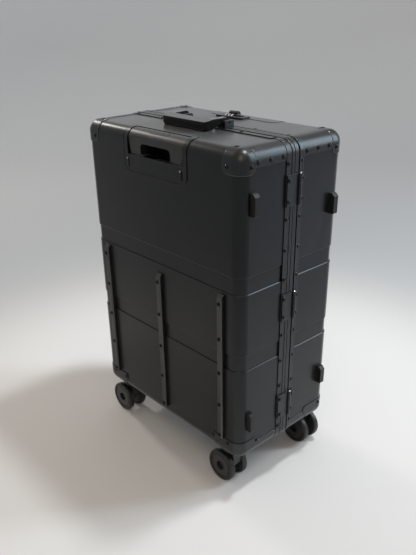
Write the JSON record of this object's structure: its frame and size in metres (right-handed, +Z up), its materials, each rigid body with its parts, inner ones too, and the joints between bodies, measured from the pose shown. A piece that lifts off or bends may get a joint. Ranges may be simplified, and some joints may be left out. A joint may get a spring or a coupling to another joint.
{
  "type": "rolling suitcase",
  "caption": "Hard rolling suitcase with a metal frame, hinged halves, twin-wheel swivel casters, trolley handle, carry handles, corner caps and a combination lock.",
  "frame": {"origin": "middle of the bounding box on the floor, under the wheels", "axes": "+Z up, +X towards the hinged narrow side, -Y towards the back with the trolley handle"},
  "size_m": [0.5146, 0.2946, 0.7666],
  "materials": {
    "black_shell": "satin black anodised, fine bead-blasted",
    "black_metal": "satin black anodised",
    "dark_steel": "dark steel",
    "black_plastic": "matte black",
    "grey_tube": "brushed, dark anodised",
    "lining": "black woven polyester",
    "seal": "black",
    "feet": "matte black",
    "tyre": "matte black"
  },
  "bodies": {
    "rear_case": {"rear_shell": "black_shell", "rear_frame": "black_metal", "rear_lining": "lining", "rear_corner_caps": "black_metal", "rear_corner_guards": "black_metal", "rear_edge_strips": "black_metal", "skid_rails": "black_metal", "rear_side_feet": "feet", "trolley_bezel": "black_plastic", "trolley_outer_tubes": "grey_tube", "trolley_foot": "black_plastic", "latch_bases": "black_metal", "rear_hinge_leaves": "black_metal", "hinge_pins": "dark_steel", "top_handle_brackets": "black_metal", "top_handle_pins": "dark_steel", "side_handle_brackets": "black_metal", "side_handle_pins": "dark_steel", "rear_caster_housings": "black_plastic", "rear_caster_pins": "dark_steel"},
    "front_case": {"front_shell": "black_shell", "front_frame": "black_metal", "frame_seal": "seal", "front_lining": "lining", "front_corner_caps": "black_metal", "front_corner_guards": "black_metal", "front_edge_strips": "black_metal", "front_side_feet": "feet", "lock_panel": "black_shell", "lock_body": "black_metal", "latch_keepers": "black_metal", "front_hinge_leaves": "black_metal", "front_caster_housings": "black_plastic", "front_caster_pins": "dark_steel"},
    "trolley_middle": {"trolley_mid_tubes": "grey_tube"},
    "trolley_handle": {"trolley_inner_tubes": "grey_tube", "trolley_grip": "black_plastic"},
    "trolley_push_button": {"trolley_button": "black_plastic"},
    "carry_handle_top": {"top_handle": "black_plastic"},
    "carry_handle_side": {"side_handle": "black_plastic"},
    "lower_latch": {"latch_lever_lower": "black_metal"},
    "upper_latch": {"latch_lever_upper": "black_metal"},
    "lock_tab": {"lock_lever": "black_metal"},
    "lock_release": {"lock_slider": "black_metal"},
    "dial_one": {"lock_dial_1": "black_plastic"},
    "dial_two": {"lock_dial_2": "black_plastic"},
    "dial_three": {"lock_dial_3": "black_plastic"},
    "caster_rear_left": {"caster_rear_left_fork": "black_plastic"},
    "wheels_rear_left": {"caster_rear_left_wheelset": "black_plastic", "caster_rear_left_tyres": "tyre"},
    "caster_rear_right": {"caster_rear_right_fork": "black_plastic"},
    "wheels_rear_right": {"caster_rear_right_wheelset": "black_plastic", "caster_rear_right_tyres": "tyre"},
    "caster_front_left": {"caster_front_left_fork": "black_plastic"},
    "wheels_front_left": {"caster_front_left_wheelset": "black_plastic", "caster_front_left_tyres": "tyre"},
    "caster_front_right": {"caster_front_right_fork": "black_plastic"},
    "wheels_front_right": {"caster_front_right_wheelset": "black_plastic", "caster_front_right_tyres": "tyre"}
  },
  "joints": [
    {"name": "front_case_hinge", "type": "hinge", "parent": "rear_case", "child": "front_case", "pos_m": [0.2513, 0.0102, 0.415], "axis": [0, 0, -1], "range_deg": [0, 170]},
    {"name": "trolley_middle_slide", "type": "slide", "parent": "rear_case", "child": "trolley_middle", "axis": [0, 0, 1], "range_m": [0, 0.17]},
    {"name": "trolley_handle_slide", "type": "slide", "parent": "trolley_middle", "child": "trolley_handle", "axis": [0, 0, 1], "range_m": [0, 0.17]},
    {"name": "trolley_button_press", "type": "slide", "parent": "trolley_handle", "child": "trolley_push_button", "axis": [0, 0, -1], "range_m": [0, 0.003], "stiffness_N_per_m": 600},
    {"name": "top_handle_fold", "type": "hinge", "parent": "rear_case", "child": "carry_handle_top", "pos_m": [0.0043, -0.0073, 0.7576], "axis": [-1, 0, 0], "range_deg": [0, 90]},
    {"name": "side_handle_fold", "type": "hinge", "parent": "rear_case", "child": "carry_handle_side", "pos_m": [-0.2483, -0.0073, 0.415], "axis": [0, 0, -1], "range_deg": [0, 90]},
    {"name": "lock_tab_lift", "type": "hinge", "parent": "front_case", "child": "lock_tab", "pos_m": [-0.0137, 0.0972, 0.7535], "axis": [1, 0, 0], "range_deg": [0, 60]},
    {"name": "lock_release_slide", "type": "slide", "parent": "front_case", "child": "lock_release", "axis": [1, 0, 0], "range_m": [0, 0.005], "stiffness_N_per_m": 150},
    {"name": "lower_latch_turn", "type": "hinge", "parent": "rear_case", "child": "lower_latch", "pos_m": [-0.2437, -0.0108, 0.25], "axis": [0, 0, 1], "range_deg": [0, 110]},
    {"name": "upper_latch_turn", "type": "hinge", "parent": "rear_case", "child": "upper_latch", "pos_m": [-0.2437, -0.0108, 0.58], "axis": [0, 0, 1], "range_deg": [0, 110]},
    {"name": "dial_one_turn", "type": "hinge", "parent": "front_case", "child": "dial_one", "pos_m": [-0.0257, 0.0887, 0.7452], "axis": [1, 0, 0], "continuous": true},
    {"name": "dial_two_turn", "type": "hinge", "parent": "front_case", "child": "dial_two", "pos_m": [-0.0167, 0.0887, 0.7452], "axis": [1, 0, 0], "continuous": true},
    {"name": "dial_three_turn", "type": "hinge", "parent": "front_case", "child": "dial_three", "pos_m": [-0.0077, 0.0887, 0.7452], "axis": [1, 0, 0], "continuous": true},
    {"name": "caster_rear_left_swivel", "type": "hinge", "parent": "rear_case", "child": "caster_rear_left", "pos_m": [-0.1837, -0.1083, 0.082], "axis": [0, 0, 1], "continuous": true},
    {"name": "caster_rear_left_roll", "type": "hinge", "parent": "caster_rear_left", "child": "wheels_rear_left", "pos_m": [-0.1947, -0.1083, 0.0375], "axis": [0, 1, 0], "continuous": true},
    {"name": "caster_rear_right_swivel", "type": "hinge", "parent": "rear_case", "child": "caster_rear_right", "pos_m": [0.1923, -0.1083, 0.082], "axis": [0, 0, 1], "continuous": true},
    {"name": "caster_rear_right_roll", "type": "hinge", "parent": "caster_rear_right", "child": "wheels_rear_right", "pos_m": [0.1813, -0.1083, 0.0375], "axis": [0, 1, 0], "continuous": true},
    {"name": "caster_front_left_swivel", "type": "hinge", "parent": "front_case", "child": "caster_front_left", "pos_m": [-0.1837, 0.1157, 0.082], "axis": [0, 0, 1], "continuous": true},
    {"name": "caster_front_left_roll", "type": "hinge", "parent": "caster_front_left", "child": "wheels_front_left", "pos_m": [-0.1947, 0.1157, 0.0375], "axis": [0, 1, 0], "continuous": true},
    {"name": "caster_front_right_swivel", "type": "hinge", "parent": "front_case", "child": "caster_front_right", "pos_m": [0.1923, 0.1157, 0.082], "axis": [0, 0, 1], "continuous": true},
    {"name": "caster_front_right_roll", "type": "hinge", "parent": "caster_front_right", "child": "wheels_front_right", "pos_m": [0.2033, 0.1157, 0.0375], "axis": [0, 1, 0], "continuous": true}
  ]
}
